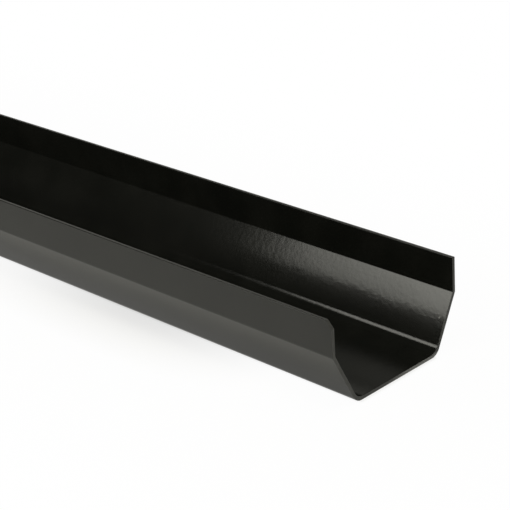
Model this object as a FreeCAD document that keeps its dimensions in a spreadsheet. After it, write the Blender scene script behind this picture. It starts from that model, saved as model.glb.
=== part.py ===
import FreeCAD, Part
import os
import Sketcher
from enum import IntEnum

# A length of square-line rainwater gutter, extruded in one piece: a flat sole, a sloping wall on
# each side of it, and an upright wall on each slope. The walls are all of one thickness. The two
# bends beside the sole are a little thicker, because their insides and outsides have nearly the
# same radius.
#
# Millimetres. X runs along the gutter, Y across it and Z up. The origin is the middle of the
# sole's underside, half way along. The front wall is on the -Y side, and the end whose front
# corner is cut off is the +X end.

SIZES = (
    ("length", 2000, "from one sawn end to the other"),
    ("top_width", 114, "over the outsides of the upright walls"),
    ("depth", 61.4, "from the sole's underside to the rims"),
    ("sole_width", 76.4, "between the sole's outside corners, before they are rounded"),
    ("upright_height", 24, "from the crease to the rim"),
    ("wall", 2.2, "thickness of the sole, slopes and upright walls"),
    ("sole_bend_inside_radius", 8.5, "bends between the sole and the slopes, on the inside"),
    ("sole_bend_outside_radius", 8, "the same bends, on the outside"),
    ("crease_inside_radius", 1.2, "creases between the slopes and the uprights, on the inside"),
    ("rim_radius", 0.5, "rounding of each rim's two edges"),
    ("corner_cut_length", 4.5, "how much of the front rim the cut corner takes off"),
    ("corner_cut_height", 5, "how far down the sawn end the cut corner reaches"),
)

SAME_PLACE = 1e-4


class At(IntEnum):
    """The two ends of a sketch line, as constraints number them."""
    START = 1
    END = 2


class Axis(IntEnum):
    """A sketch's own axes, as constraints number them. The origin is where the first one starts."""
    ACROSS = -1
    UP = -2


# ---- document and its table of sizes ----

def table_of_sizes(document):
    """A spreadsheet with one named size in each row."""
    sheet = document.addObject("Spreadsheet::Sheet", "Sizes")
    for row, (name, value, meaning) in enumerate(SIZES, start=1):
        sheet.set(f"A{row}", name)
        sheet.set(f"B{row}", str(value))
        sheet.set(f"C{row}", meaning)
        sheet.setAlias(f"B{row}", name)
    document.recompute()
    return sheet


# ---- sketch helpers ----

def sketch_on(body, role, name):
    """An empty sketch on one of the body's own origin planes."""
    plane = next(feature for feature in body.Origin.OriginFeatures if feature.Role == role)
    sketch = body.newObject("Sketcher::SketchObject", name)
    sketch.AttachmentSupport = [(plane, "")]
    sketch.MapMode = "FlatFace"
    return sketch


def closed_outline(sketch, corners):
    """Straight lines from each corner to the next and back to the first. Line n starts at corner n."""
    count = len(corners)
    for number, corner in enumerate(corners):
        following = corners[(number + 1) % count]
        line = Part.LineSegment(FreeCAD.Vector(*corner), FreeCAD.Vector(*following))
        sketch.addGeometry(line, False)
    for number in range(count):
        following = (number + 1) % count
        sketch.addConstraint(Sketcher.Constraint("Coincident", number, At.END, following, At.START))


def dimension(sketch, name, formula, kind, *places):
    """A dimension of the sketch that takes its value from the table of sizes."""
    index = sketch.addConstraint(Sketcher.Constraint(kind, *places))
    sketch.renameConstraint(index, name)
    sketch.setExpression(f"Constraints.{name}", formula)


# ---- the gutter's section ----

# Corners of the section, in order: down the outside of the back wall, across the underside, up the
# outside of the front wall, over its rim, and round the inside the other way.
CORNERS = (
    "left_rim_outside",
    "left_crease_outside",
    "left_sole_outside",
    "right_sole_outside",
    "right_crease_outside",
    "right_rim_outside",
    "right_rim_inside",
    "right_crease_inside",
    "right_sole_inside",
    "left_sole_inside",
    "left_crease_inside",
    "left_rim_inside",
)
CORNER = {name: number for number, name in enumerate(CORNERS)}


def section_sketch(body, sheet):
    """The section with sharp corners: its right half by dimensions and its left half by symmetry."""
    half_top = sheet.top_width / 2
    half_sole = sheet.sole_width / 2
    crease_height = sheet.depth - sheet.upright_height
    right_half = (
        (half_sole, 0),
        (half_top, crease_height),
        (half_top, sheet.depth),
        (half_top - sheet.wall, sheet.depth),
        (half_top - sheet.wall, crease_height),
        (half_sole - sheet.wall, sheet.wall),
    )
    left_half = [(-across, up) for across, up in right_half]
    outside_left = left_half[2::-1]
    inside_left = left_half[:2:-1]

    sketch = sketch_on(body, "YZ_Plane", "section")
    closed_outline(sketch, (*outside_left, *right_half, *inside_left))

    for name in CORNERS:
        if name.startswith("right"):
            twin = CORNER[name.replace("right", "left")]
            sketch.addConstraint(
                Sketcher.Constraint("Symmetric", CORNER[name], At.START, twin, At.START, Axis.UP)
            )

    sole = CORNER["right_sole_outside"]
    crease = CORNER["right_crease_outside"]
    rim = CORNER["right_rim_outside"]
    rim_inside = CORNER["right_rim_inside"]
    crease_inside = CORNER["right_crease_inside"]
    sole_inside = CORNER["right_sole_inside"]
    sketch.addConstraint(Sketcher.Constraint("PointOnObject", sole, At.START, Axis.ACROSS))
    sketch.addConstraint(Sketcher.Constraint("Vertical", crease))
    sketch.addConstraint(Sketcher.Constraint("Horizontal", rim))
    sketch.addConstraint(Sketcher.Constraint("Vertical", rim_inside))
    sketch.addConstraint(Sketcher.Constraint("Parallel", crease_inside, sole))

    left_sole = CORNER["left_sole_outside"]
    left_rim = CORNER["left_rim_outside"]
    dimension(sketch, "sole_width", "Sizes.sole_width",
              "DistanceX", left_sole, At.START, sole, At.START, sheet.sole_width)
    dimension(sketch, "top_width", "Sizes.top_width",
              "DistanceX", left_rim, At.START, rim, At.START, sheet.top_width)
    dimension(sketch, "depth", "Sizes.depth",
              "DistanceY", sole, At.START, rim, At.START, sheet.depth)
    dimension(sketch, "upright_height", "Sizes.upright_height",
              "DistanceY", crease, At.START, rim, At.START, sheet.upright_height)
    dimension(sketch, "upright_wall", "Sizes.wall",
              "DistanceX", rim_inside, At.START, rim, At.START, sheet.wall)
    dimension(sketch, "slope_wall", "Sizes.wall",
              "Distance", sole_inside, At.START, sole, sheet.wall)
    dimension(sketch, "sole_wall", "Sizes.wall",
              "DistanceY", sole, At.START, sole_inside, At.START, sheet.wall)
    return sketch


# ---- features ----

def edges_through(shape, sketch, names):
    """Names of the straight edges that the section's named corners draw along the gutter."""
    found = []
    for name in names:
        corner = sketch.getPoint(CORNER[name], At.START)
        for number, edge in enumerate(shape.Edges, start=1):
            ends = [vertex.Point for vertex in edge.Vertexes]
            on_corner = [
                abs(point.y - corner.x) < SAME_PLACE and abs(point.z - corner.y) < SAME_PLACE
                for point in ends
            ]
            if len(ends) == 2 and all(on_corner):
                found.append(f"Edge{number}")
    if len(found) != len(names):
        raise ValueError(f"{len(found)} edges found at {len(names)} corners: {names}")
    return found


def rounded(body, sketch, name, formula, corners):
    """A fillet along each of the section's named corners, from end to end."""
    before = body.Tip
    fillet = body.newObject("PartDesign::Fillet", name)
    fillet.Base = (before, edges_through(before.Shape, sketch, corners))
    fillet.setExpression("Radius", formula)
    body.Document.recompute()
    return fillet


def both_sides(corner):
    """A corner's name on the left and on the right of the section."""
    return [f"left_{corner}", f"right_{corner}"]


def cut_corner(body, sheet):
    """The sloping cut that takes the front rim's corner off at the +X end."""
    before = body.Tip
    end = sheet.length / 2
    rim = sheet.depth
    sketch = sketch_on(body, "XZ_Plane", "corner_cut_outline")
    corner, along_rim, down_end = 0, 1, 2
    closed_outline(sketch, (
        (end, rim),
        (end - sheet.corner_cut_length, rim),
        (end, rim - sheet.corner_cut_height),
    ))
    sketch.addConstraint(Sketcher.Constraint("Horizontal", corner))
    sketch.addConstraint(Sketcher.Constraint("Vertical", down_end))
    dimension(sketch, "end", "Sizes.length / 2",
              "DistanceX", Axis.ACROSS, At.START, corner, At.START, end)
    dimension(sketch, "rim", "Sizes.depth",
              "DistanceY", Axis.ACROSS, At.START, corner, At.START, rim)
    dimension(sketch, "cut_length", "Sizes.corner_cut_length",
              "DistanceX", along_rim, At.START, corner, At.START, sheet.corner_cut_length)
    dimension(sketch, "cut_height", "Sizes.corner_cut_height",
              "DistanceY", down_end, At.START, corner, At.START, sheet.corner_cut_height)

    # The outline stands in the middle of the open channel, so a cut to the front alone goes
    # through the front wall and misses the back one.
    cut = body.newObject("PartDesign::Pocket", "corner_cut")
    cut.Profile = sketch
    cut.Type = "ThroughAll"
    cut.SideType = "One side"
    cut.Reversed = True
    body.Document.recompute()
    taken = before.Shape.Volume - cut.Shape.Volume
    expected = sheet.corner_cut_length * sheet.corner_cut_height / 2 * sheet.wall
    if not expected / 2 < taken <= expected:
        raise ValueError(f"the corner cut takes {taken:.2f} cubic mm, and should take {expected:.2f}")
    return cut


def gutter(document, sheet):
    """The whole gutter as one body: the section drawn out, its bends rounded, its corner cut."""
    body = document.addObject("PartDesign::Body", "gutter_channel")
    body.Label = "gutter_channel"
    sketch = section_sketch(body, sheet)

    extrusion = body.newObject("PartDesign::Pad", "extrusion")
    extrusion.Profile = sketch
    extrusion.SideType = "Symmetric"
    extrusion.setExpression("Length", "Sizes.length")
    document.recompute()

    rounded(body, sketch, "sole_bends_inside", "Sizes.sole_bend_inside_radius",
            both_sides("sole_inside"))
    rounded(body, sketch, "sole_bends_outside", "Sizes.sole_bend_outside_radius",
            both_sides("sole_outside"))
    rounded(body, sketch, "creases_inside", "Sizes.crease_inside_radius",
            both_sides("crease_inside"))
    rounded(body, sketch, "creases_outside", "Sizes.crease_inside_radius + Sizes.wall",
            both_sides("crease_outside"))
    rounded(body, sketch, "rim_edges", "Sizes.rim_radius",
            both_sides("rim_inside") + both_sides("rim_outside"))
    cut_corner(body, sheet)
    body.Placement = FreeCAD.Placement()
    return body


# ---- checks and files ----

def check(document, bodies):
    """Stops if any object failed, or any body is empty or not a valid closed solid."""
    document.recompute()
    for item in document.Objects:
        if "Invalid" in item.State or "Error" in item.State:
            raise ValueError(f"{item.Label} failed: {item.State}")
    for body in bodies:
        if body.Shape.isNull() or not body.Shape.isValid() or len(body.Shape.Solids) != 1:
            raise ValueError(f"{body.Label} isn't one valid solid")


def main():
    document = FreeCAD.newDocument("gutter_section")
    sheet = table_of_sizes(document)
    bodies = [gutter(document, sheet)]
    check(document, bodies)
    os.makedirs("parts", exist_ok=True)
    for body in bodies:
        body.Shape.exportStep(f"parts/{body.Label}.step")
        box = body.Shape.BoundBox
        print(body.Label, f"{box.XLength:.2f} x {box.YLength:.2f} x {box.ZLength:.2f} mm,",
              f"{body.Shape.Volume / 1000:.1f} cubic cm")


main()
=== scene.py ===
import math

import bpy
from mathutils import Matrix, Vector


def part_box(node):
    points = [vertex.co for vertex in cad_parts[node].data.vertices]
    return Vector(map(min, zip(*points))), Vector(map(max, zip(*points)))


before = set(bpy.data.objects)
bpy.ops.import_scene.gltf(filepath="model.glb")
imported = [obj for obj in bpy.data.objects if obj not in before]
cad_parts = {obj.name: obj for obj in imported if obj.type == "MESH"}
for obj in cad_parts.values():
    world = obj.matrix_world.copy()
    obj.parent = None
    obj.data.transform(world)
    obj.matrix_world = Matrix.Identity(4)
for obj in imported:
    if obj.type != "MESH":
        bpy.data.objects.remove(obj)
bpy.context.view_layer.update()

# A length of square-line rainwater gutter in semi-gloss black plastic, lying on a pale floor.
# Metres, in the part's own frame: X along the gutter, Y across it, Z up, and the end whose front
# rim corner is cut off at +X.

LOW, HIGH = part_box("gutter_channel")
MIDDLE = (LOW + HIGH) / 2
END = Vector((HIGH.x, MIDDLE.y, LOW.z))
HALF_LENGTH = HIGH.x - MIDDLE.x


# ---- camera ----

CAMERA_FROM_END = Vector((0.59558, -0.68974, 0.49696))
CAMERA_AZIMUTH = math.radians(45.980)
CAMERA_ELEVATION = math.radians(24.197)
CAMERA_ROLL = math.radians(3.813)
LENS = 119.0
SENSOR = 36.0
FAR_CLIP = 50.0


def place_camera():
    """Looks back along the gutter from beyond its cut end, a little above it and to its front."""
    data = bpy.data.cameras.new("camera")
    data.lens = LENS
    data.sensor_width = SENSOR
    data.clip_end = FAR_CLIP
    camera = bpy.data.objects.new("camera", data)
    bpy.context.scene.collection.objects.link(camera)
    bearing = Matrix.Rotation(CAMERA_AZIMUTH, 4, "Z")
    tilt = Matrix.Rotation(math.pi / 2 - CAMERA_ELEVATION, 4, "X")
    roll = Matrix.Rotation(-CAMERA_ROLL, 4, "Z")
    camera.matrix_world = Matrix.Translation(END + CAMERA_FROM_END) @ bearing @ tilt @ roll
    bpy.context.scene.camera = camera


# ---- node helpers ----

class Nodes:
    """A short way to write a node tree: add a node, set its sockets, and join it to others."""

    def __init__(self, tree):
        self.tree = tree

    def add(self, kind, sockets=None, **settings):
        """A node of the given kind. Sockets are given by name or number."""
        node = self.tree.nodes.new(kind)
        for name, value in settings.items():
            setattr(node, name, value)
        for name, value in (sockets or {}).items():
            self.feed(node.inputs[name], value)
        return node

    def feed(self, socket, value):
        """Joins an output to a socket, or sets the socket's own value."""
        if isinstance(value, bpy.types.NodeSocket):
            self.tree.links.new(value, socket)
        else:
            socket.default_value = value

    def math(self, operation, *values):
        """The result of a Math node."""
        node = self.add("ShaderNodeMath", dict(enumerate(values)), operation=operation)
        return node.outputs[0]

    def product(self, first, *others):
        """All the given values multiplied together."""
        for other in others:
            first = self.math("MULTIPLY", first, other)
        return first

    def vector(self, operation, *values):
        """The vector result of a Vector Math node."""
        return self.add_vector(operation, values).outputs[0]

    def length(self, vector):
        """How long a vector is."""
        return self.add_vector("LENGTH", [vector]).outputs["Value"]

    def distance(self, place, other):
        """How far one place is from another."""
        return self.add_vector("DISTANCE", [place, tuple(other)]).outputs["Value"]

    def add_vector(self, operation, values):
        """A Vector Math node."""
        return self.add("ShaderNodeVectorMath", dict(enumerate(values)), operation=operation)

    def parts(self, vector):
        """A vector's X, Y and Z, by name."""
        return self.add("ShaderNodeSeparateXYZ", {"Vector": vector}).outputs

    def ramp(self, value, start, stop, low=0.0, high=1.0, shape="SMOOTHSTEP"):
        """Low below start, high above stop, and a rise between them, smooth unless shape is LINEAR."""
        node = self.add("ShaderNodeMapRange", {
            "Value": value, "From Min": start, "From Max": stop, "To Min": low, "To Max": high,
        }, interpolation_type=shape)
        return node.outputs["Result"]

    def noise(self, place, size, detail=2.0, stretch=(1.0, 1.0, 1.0), seed=0.0):
        """Noise about 0.5 whose bumps are about size metres across, times stretch on each axis."""
        scale = tuple(1.0 / (size * factor) for factor in stretch)
        node = self.add("ShaderNodeTexNoise", {
            "Vector": self.vector("MULTIPLY", place, scale), "W": seed, "Scale": 1.0, "Detail": detail,
        }, noise_dimensions="4D")
        return node.outputs[0]

    def between(self, fraction, first, second):
        """A value that goes from the first to the second as the fraction goes from 0 to 1."""
        return self.add("ShaderNodeMix", {0: fraction, 2: first, 3: second}).outputs[0]

    def blend(self, fraction, first, second):
        """A colour that goes from the first to the second as the fraction goes from 0 to 1."""
        node = self.add("ShaderNodeMix", data_type="RGBA")
        colours = [socket for socket in node.inputs if socket.type == "RGBA"]
        self.feed(node.inputs[0], fraction)
        self.feed(colours[0], first)
        self.feed(colours[1], second)
        return next(socket for socket in node.outputs if socket.type == "RGBA")


def new_material(name):
    """An empty material and its nodes."""
    material = bpy.data.materials.new(name)
    material.use_nodes = True
    material.node_tree.nodes.clear()
    return material, Nodes(material.node_tree)


def rays_in(nodes):
    """The kinds of ray, by name, and whether a ray shows in a reflection or through glass."""
    rays = nodes.add("ShaderNodeLightPath").outputs
    return rays, nodes.math("MAXIMUM", rays["Is Glossy Ray"], rays["Is Transmission Ray"])


# ---- floor ----

FLOOR_REACH = 30.0
FLOOR_COLOUR = (0.80, 0.80, 0.80, 1.0)
WHITE_LEVEL = 1.0

# How much of the floor's own shading the camera sees, and how far out from the sole. Places along
# the gutter are measured from its cut end.
SOLE_HALF_WIDTH = 0.034
CONTACT_SHADE = 0.32
CONTACT_REACH = 0.004
FAINT_SHADE = 0.03
FAINT_REACH = 0.3
FRONT_SHADE = 0.32
FRONT_SHADE_REACH = (0.012, 0.07)
FRONT_SHADE_ALONG = (-0.36, -0.20)
FRONT_SHADE_BEYOND = 0.3
FRONT_SHADE_TO_END = (-0.19, -0.05)
FRONT_SHADE_AT_END = 0.08
FRONT_SHADE_STOP = 0.03

# How white the floor is in reflections: not at all around the cut end, and paler farther off.
# Close along the sole it is painted light: the floor glows white in reflections there, over the
# shade under the overhanging front wall, where that wall mirrors the floor.
FLOOR_MIRRORED = 0.6
SHADED_PATCH_FROM_END = Vector((-0.25, -0.10, 0.0))
SHADED_PATCH = (0.40, 0.75)
OVERHANG_PAINTED_GLOW = 0.28
OVERHANG_PAINTED_GLOW_REACH = 0.022


def distance_from_sole(nodes, place):
    """How far a place on the floor is from the strip that the sole covers."""
    from_middle = nodes.vector("ABSOLUTE", nodes.vector("SUBTRACT", place, tuple(MIDDLE)))
    beyond = nodes.vector("SUBTRACT", from_middle, (HALF_LENGTH, SOLE_HALF_WIDTH, 0.0))
    outside = nodes.vector("MAXIMUM", beyond, (0.0, 0.0, 0.0))
    return nodes.length(nodes.vector("MULTIPLY", outside, (1.0, 1.0, 0.0)))


def front_shade(nodes, place):
    """The soft shade in front of the wall that leans out over the floor.

    It fades with the distance ahead of the sole, towards the cut end and towards the hidden end, and
    it stops where the gutter stops.
    """
    part = nodes.parts(place)
    ahead = nodes.math("SUBTRACT", MIDDLE.y - SOLE_HALF_WIDTH, part["Y"])
    from_middle = nodes.math("ABSOLUTE", nodes.math("SUBTRACT", part["X"], MIDDLE.x))
    from_end = nodes.math("SUBTRACT", part["X"], HIGH.x)
    return nodes.product(
        nodes.ramp(ahead, *FRONT_SHADE_REACH, FRONT_SHADE, 0.0),
        nodes.math("GREATER_THAN", ahead, 0.0),
        nodes.ramp(from_middle, HALF_LENGTH - FRONT_SHADE_STOP, HALF_LENGTH + FRONT_SHADE_STOP, 1.0, 0.0),
        nodes.ramp(from_end, *FRONT_SHADE_ALONG, FRONT_SHADE_BEYOND, 1.0),
        nodes.ramp(from_end, *FRONT_SHADE_TO_END, 1.0, FRONT_SHADE_AT_END),
    )


def pale_floor():
    """Matt pale sheet, lifted to white for the camera apart from where the gutter shades it.

    There its own shading shows through: close along the sole, and in front of the front wall.
    """
    material, nodes = new_material("pale_floor")
    place = nodes.add("ShaderNodeTexCoord").outputs["Object"]
    distance = distance_from_sole(nodes, place)
    contact = nodes.ramp(distance, 0.0, CONTACT_REACH, CONTACT_SHADE, 0.0)
    faint = nodes.ramp(distance, 0.0, FAINT_REACH, FAINT_SHADE, 0.0)
    shade = nodes.math("MAXIMUM", nodes.math("ADD", contact, front_shade(nodes, place)), faint)
    lift = nodes.math("SUBTRACT", 1.0, nodes.math("MINIMUM", shade, 1.0))

    patch = nodes.distance(place, END + SHADED_PATCH_FROM_END)
    # Painted light: close along the sole the floor glows white in reflections, over its own shade.
    paler = nodes.math("MAXIMUM", nodes.ramp(patch, *SHADED_PATCH, 0.0, FLOOR_MIRRORED),
                       nodes.ramp(distance, 0.0, OVERHANG_PAINTED_GLOW_REACH, OVERHANG_PAINTED_GLOW, 0.0))

    rays, mirrored = rays_in(nodes)
    share = nodes.math("MAXIMUM", nodes.product(rays["Is Camera Ray"], lift),
                       nodes.product(mirrored, paler))
    sheet = nodes.add("ShaderNodeBsdfDiffuse", {"Color": FLOOR_COLOUR})
    white = nodes.add("ShaderNodeEmission", {"Strength": WHITE_LEVEL})
    mixed = nodes.add("ShaderNodeMixShader", {0: share, 1: sheet.outputs[0], 2: white.outputs[0]})
    nodes.add("ShaderNodeOutputMaterial", {"Surface": mixed.outputs[0]})
    return material


def lay_floor():
    """A wide level sheet under the gutter."""
    mesh = bpy.data.meshes.new("floor")
    signs = ((-1, -1), (1, -1), (1, 1), (-1, 1))
    corners = [(x * FLOOR_REACH, y * FLOOR_REACH, LOW.z) for x, y in signs]
    mesh.from_pydata(corners, [], [(0, 1, 2, 3)])
    floor = bpy.data.objects.new("floor", mesh)
    bpy.context.scene.collection.objects.link(floor)
    mesh.materials.append(pale_floor())


# ---- light ----

WARM = (1.0, 0.99, 0.90)
WHITE = (1.0, 1.0, 1.0)

WORLD_LEVEL = 0.065
STUDIO_DARK = 0.024
BACKDROP_LEVEL = 0.64
BACKDROP_SIDE = (0.0, 0.4)
BACKDROP_TOP = (0.46, 0.54)

SOFTBOX_BEARING = math.radians(24.8)
SOFTBOX_RISE = math.radians(25.5)
SOFTBOX_DISTANCE = 1.6
SOFTBOX_SIZE = (1.25, 0.84)
SOFTBOX_LEVEL = 2.9
SOFTBOX_EDGE = (0.0, 0.35)
SOFTBOX_EDGE_LEVEL = (0.8, 1.2)
SOFTBOX_FOOT = (0.1, 0.45)
SOFTBOX_FOOT_LEVEL = (0.42, 1.4)

OVERHEAD_FROM_END = Vector((0.15, -0.15, 1.1))
OVERHEAD_SIZE = (0.7, 0.7)
OVERHEAD_LEVEL = 4.9

SIDE_FROM_END = Vector((1.3, -0.5, 0.9))
SIDE_SIZE = (0.8, 0.8)
SIDE_LEVEL = 2.9


def light_world():
    """White to the camera, dim to matt surfaces, and a low pale backdrop in reflections."""
    world = bpy.data.worlds.new("studio")
    bpy.context.scene.world = world
    world.use_nodes = True
    world.node_tree.nodes.clear()
    nodes = Nodes(world.node_tree)
    rays, mirrored = rays_in(nodes)
    direction = nodes.parts(nodes.add("ShaderNodeTexCoord").outputs["Generated"])
    backdrop = nodes.product(nodes.ramp(direction["Y"], *BACKDROP_SIDE),
                             nodes.ramp(direction["Z"], *BACKDROP_TOP, 1.0, 0.0))
    studio = nodes.ramp(backdrop, 0.0, 1.0, STUDIO_DARK, BACKDROP_LEVEL)
    matt = nodes.math("SUBTRACT", 1.0, mirrored)
    level = nodes.math("ADD", nodes.product(mirrored, studio), nodes.product(matt, WORLD_LEVEL))
    level = nodes.math("MAXIMUM", level, rays["Is Camera Ray"])
    tint = nodes.blend(rays["Is Camera Ray"], (*WARM, 1.0), (*WHITE, 1.0))
    background = nodes.add("ShaderNodeBackground", {"Color": tint, "Strength": level})
    nodes.add("ShaderNodeOutputWorld", {"Surface": background.outputs[0]})


def hang_lamp(name, from_end, size, level):
    """A soft rectangular lamp that faces the gutter's cut end. Level is its face's radiance."""
    data = bpy.data.lights.new(name, "AREA")
    data.shape = "RECTANGLE"
    data.size, data.size_y = size
    data.energy = level * math.pi * size[0] * size[1]
    data.color = WARM
    lamp = bpy.data.objects.new(name, data)
    bpy.context.scene.collection.objects.link(lamp)
    turn = from_end.to_track_quat("Z", "Y").to_matrix().to_4x4()
    lamp.matrix_world = Matrix.Translation(END + from_end) @ turn
    return data


def fade_softbox(softbox):
    """Makes the softbox's face dimmer towards one upright edge and towards its foot."""
    softbox.use_nodes = True
    softbox.node_tree.nodes.clear()
    nodes = Nodes(softbox.node_tree)
    face = nodes.parts(nodes.add("ShaderNodeNewGeometry").outputs["Parametric"])
    glow = nodes.product(nodes.ramp(face["X"], *SOFTBOX_EDGE, *SOFTBOX_EDGE_LEVEL),
                         nodes.ramp(face["Y"], *SOFTBOX_FOOT, *SOFTBOX_FOOT_LEVEL))
    emission = nodes.add("ShaderNodeEmission", {"Strength": glow})
    nodes.add("ShaderNodeOutputLight", {"Surface": emission.outputs[0]})


def light_gutter():
    """A softbox to the front and along the gutter, a lamp over its end and one beyond its end."""
    flat = math.cos(SOFTBOX_RISE)
    towards = Vector((-math.sin(SOFTBOX_BEARING) * flat, -math.cos(SOFTBOX_BEARING) * flat,
                      math.sin(SOFTBOX_RISE)))
    fade_softbox(hang_lamp("softbox", towards * SOFTBOX_DISTANCE, SOFTBOX_SIZE, SOFTBOX_LEVEL))
    hang_lamp("overhead", OVERHEAD_FROM_END, OVERHEAD_SIZE, OVERHEAD_LEVEL)
    hang_lamp("side", SIDE_FROM_END, SIDE_SIZE, SIDE_LEVEL)


# ---- black plastic ----

BLACK = (0.0050, 0.0053, 0.0043, 1.0)
BLACK_WORN = (0.0078, 0.0080, 0.0066, 1.0)
SAWN = (0.015, 0.015, 0.0135, 1.0)
SAWN_PALE = (0.045, 0.045, 0.041, 1.0)
SOLE_END_PALE = (0.16, 0.16, 0.155, 1.0)
DUST = (0.20, 0.20, 0.19, 1.0)

# The patterns of the skin and of the sawn ends. Each one's seed is its own place in the noise.
MOTTLE = {"size": 0.03, "detail": 4.0}
GRAIN = {"size": 0.0011, "seed": 3.0}
SMUDGES = {"size": 0.045, "detail": 3.0, "stretch": (2.5, 1.0, 1.0), "seed": 7.0}
DIE_LINES = {"size": 0.0009, "detail": 3.0, "stretch": (180.0, 1.0, 1.0), "seed": 11.0}
SAW_MARKS = {"size": 0.0005, "stretch": (1.0, 1.0, 14.0), "seed": 17.0}
WAVES = {"size": 0.03, "detail": 1.0, "stretch": (1.5, 1.0, 1.0), "seed": 23.0}
ORANGE_PEEL = {"size": 0.0035, "seed": 29.0}
MOTTLE_RANGE = (0.35, 0.7)
SAW_MARK_RANGE = (0.3, 0.75)

# Depths of the relief, in metres.
HOLLOW_DEPTH = 0.00020
WAVE_DEPTH = 0.00015
PEEL_DEPTH = 0.000045
DIE_LINE_DEPTH = 0.000004
SAW_MARK_DEPTH = 0.00006

# The slight hollow of the inside slopes, just under the creases.
CREASE_HEIGHT = 0.0375
HOLLOW_REACH = 0.014
HOLLOW_BEND = 2.0
SLOPE_FACES_UP = 0.1

# Roughness of the skin, and how much each pattern moves it.
SKIN_ROUGHNESS = 0.14
SMUDGE_ROUGHNESS = 0.05
GRAIN_ROUGHNESS = 0.03
DIE_LINE_ROUGHNESS = 0.04
SOLE_ROUGHNESS = 0.20
EDGE_ROUGHNESS = 0.3
SAWN_ROUGHNESS = 0.5

# Which way a sawn face and the top of the sole face, and how high the sole's top is.
SAWN_FACES_ALONG = (0.25, 0.4)
SOLE_FACES_UP = (0.96, 0.995)
SOLE_TOP = (0.003, 0.004)

# Wear along the sawn edges and the rims, and how far it makes the skin paler.
END_WEAR = 0.0012
RIM_WEAR = 0.0010
WEAR_GRAIN = 0.9
WEAR_RANGE = (0.75, 1.5)
WEAR_PALENESS = 0.35

# The sawn face of the sole turns much paler near its bottom, more so towards the back.
SOLE_END_PALE_HEIGHT = (0.002, 0.0035)
SOLE_END_PALE_ACROSS = (-0.012, 0.012)
SOLE_END_PALENESS = 0.8

# Specks: how many cells they have to a metre, which cells have one, and its radius in cells.
SPECK_CELLS = 34.0
SPECK_CHOICE = (0.45, 1.0)
SPECK_RADIUS = 0.022
SPECK_PALENESS = 0.7
NICK_FROM_END = Vector((-0.0045, 0.0467, 0.0219))
NICK_RADIUS = 0.0006


def above_sole(heights):
    """Heights over the sole's underside, as places on Z."""
    return [LOW.z + height for height in heights]


def worn_edges(nodes, part, grain):
    """1 on the sawn edges and the rims, ragged with the grain, and 0 away from them."""
    from_middle = nodes.math("ABSOLUTE", nodes.math("SUBTRACT", part["X"], MIDDLE.x))
    near_end = nodes.math("SUBTRACT", from_middle, HALF_LENGTH - END_WEAR)
    near_end = nodes.math("DIVIDE", near_end, END_WEAR)
    near_rim = nodes.math("SUBTRACT", part["Z"], HIGH.z - RIM_WEAR)
    near_rim = nodes.math("DIVIDE", near_rim, RIM_WEAR)
    edge = nodes.math("MAXIMUM", near_end, near_rim)
    return nodes.ramp(nodes.math("MULTIPLY_ADD", grain, WEAR_GRAIN, edge), *WEAR_RANGE)


def specks(nodes, place):
    """1 on a few small specks and on the nick near the cut end, and 0 elsewhere."""
    cells = nodes.add("ShaderNodeTexVoronoi", {"Vector": place, "Scale": SPECK_CELLS}, feature="F1")
    chosen = nodes.add("ShaderNodeSeparateColor", {0: cells.outputs["Color"]}).outputs[0]
    radius = nodes.ramp(chosen, *SPECK_CHOICE, 0.0, SPECK_RADIUS)
    speck = nodes.math("LESS_THAN", cells.outputs["Distance"], radius)
    nick = nodes.distance(place, END + NICK_FROM_END)
    return nodes.math("MAXIMUM", speck, nodes.math("LESS_THAN", nick, NICK_RADIUS))


def sawn_colour(nodes, part, saw_marks):
    """Dull grey-black with paler saw marks, and much paler along the bottom of the sole's back half."""
    cut = nodes.blend(nodes.ramp(saw_marks, *SAW_MARK_RANGE), SAWN, SAWN_PALE)
    sole_end_pale = nodes.product(nodes.ramp(part["Z"], *above_sole(SOLE_END_PALE_HEIGHT), 1.0, 0.0),
                          nodes.ramp(part["Y"], *SOLE_END_PALE_ACROSS), SOLE_END_PALENESS)
    return nodes.blend(sole_end_pale, cut, SOLE_END_PALE)


def skin_roughness(nodes, part, facing, patterns):
    """Semi-gloss, uneven with the given patterns, and a little duller on the top of the sole."""
    rough = SKIN_ROUGHNESS
    for pattern, spread in patterns:
        rough = nodes.math("MULTIPLY_ADD", nodes.math("SUBTRACT", pattern, 0.5), spread, rough)
    on_sole = nodes.product(nodes.ramp(facing["Z"], *SOLE_FACES_UP),
                            nodes.ramp(part["Z"], *above_sole(SOLE_TOP), 1.0, 0.0))
    return nodes.between(on_sole, rough, SOLE_ROUGHNESS)


def crease_hollow(nodes, part, facing):
    """Height of the inside slopes: level at first, and falling ever faster up to the crease."""
    reach = above_sole((CREASE_HEIGHT - HOLLOW_REACH, CREASE_HEIGHT))
    fall = nodes.math("POWER", nodes.ramp(part["Z"], *reach, shape="LINEAR"), HOLLOW_BEND)
    inside = nodes.math("GREATER_THAN", facing["Z"], SLOPE_FACES_UP)
    return nodes.product(nodes.math("SUBTRACT", 1.0, fall), inside)


def relief(nodes, first, *others):
    """Bumps laid over one another. Each is a pattern of heights and its depth."""
    height, depth = first
    normal = nodes.add("ShaderNodeBump", {"Height": height, "Distance": depth}).outputs[0]
    for height, depth in others:
        normal = nodes.add("ShaderNodeBump", {
            "Height": height, "Distance": depth, "Normal": normal}).outputs[0]
    return normal


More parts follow.
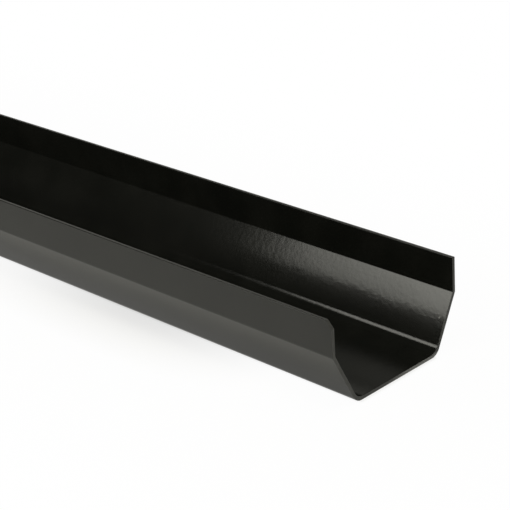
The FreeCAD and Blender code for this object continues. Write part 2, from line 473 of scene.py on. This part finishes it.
def black_plastic():
    """Extruded plastic: a smooth skin with faint orange peel and die lines, and sawn ends."""
    material, nodes = new_material("black_plastic")
    coordinates = nodes.add("ShaderNodeTexCoord").outputs
    place = coordinates["Object"]
    part = nodes.parts(place)
    facing = nodes.parts(coordinates["Normal"])
    grain = nodes.noise(place, **GRAIN)
    die_lines = nodes.noise(place, **DIE_LINES)
    saw_marks = nodes.noise(place, **SAW_MARKS)
    sawn = nodes.ramp(nodes.math("ABSOLUTE", facing["X"]), *SAWN_FACES_ALONG)
    worn = worn_edges(nodes, part, grain)
    speck = specks(nodes, place)

    mottle = nodes.ramp(nodes.noise(place, **MOTTLE), *MOTTLE_RANGE)
    colour = nodes.blend(mottle, BLACK, BLACK_WORN)
    colour = nodes.blend(nodes.product(worn, WEAR_PALENESS), colour, SAWN)
    colour = nodes.blend(sawn, colour, sawn_colour(nodes, part, saw_marks))
    colour = nodes.blend(nodes.product(speck, SPECK_PALENESS), colour, DUST)

    rough = skin_roughness(nodes, part, facing, (
        (nodes.noise(place, **SMUDGES), SMUDGE_ROUGHNESS),
        (grain, GRAIN_ROUGHNESS),
        (die_lines, DIE_LINE_ROUGHNESS),
    ))
    rough = nodes.between(worn, rough, EDGE_ROUGHNESS)
    rough = nodes.between(speck, rough, SAWN_ROUGHNESS)
    rough = nodes.between(sawn, rough, SAWN_ROUGHNESS)

    normal = relief(
        nodes,
        (crease_hollow(nodes, part, facing), HOLLOW_DEPTH),
        (nodes.noise(place, **WAVES), WAVE_DEPTH),
        (nodes.noise(place, **ORANGE_PEEL), PEEL_DEPTH),
        (die_lines, DIE_LINE_DEPTH),
        (nodes.product(saw_marks, sawn), SAW_MARK_DEPTH),
    )

    plastic = nodes.add("ShaderNodeBsdfPrincipled", {
        "Base Color": colour, "Roughness": rough, "Normal": normal})
    nodes.add("ShaderNodeOutputMaterial", {"Surface": plastic.outputs[0]})
    return material


def finish_channel():
    """Gives the gutter its black plastic."""
    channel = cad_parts["gutter_channel"]
    channel.material_slots[0].material = black_plastic()


bpy.context.scene.view_settings.view_transform = "Standard"
place_camera()
lay_floor()
light_world()
light_gutter()
finish_channel()
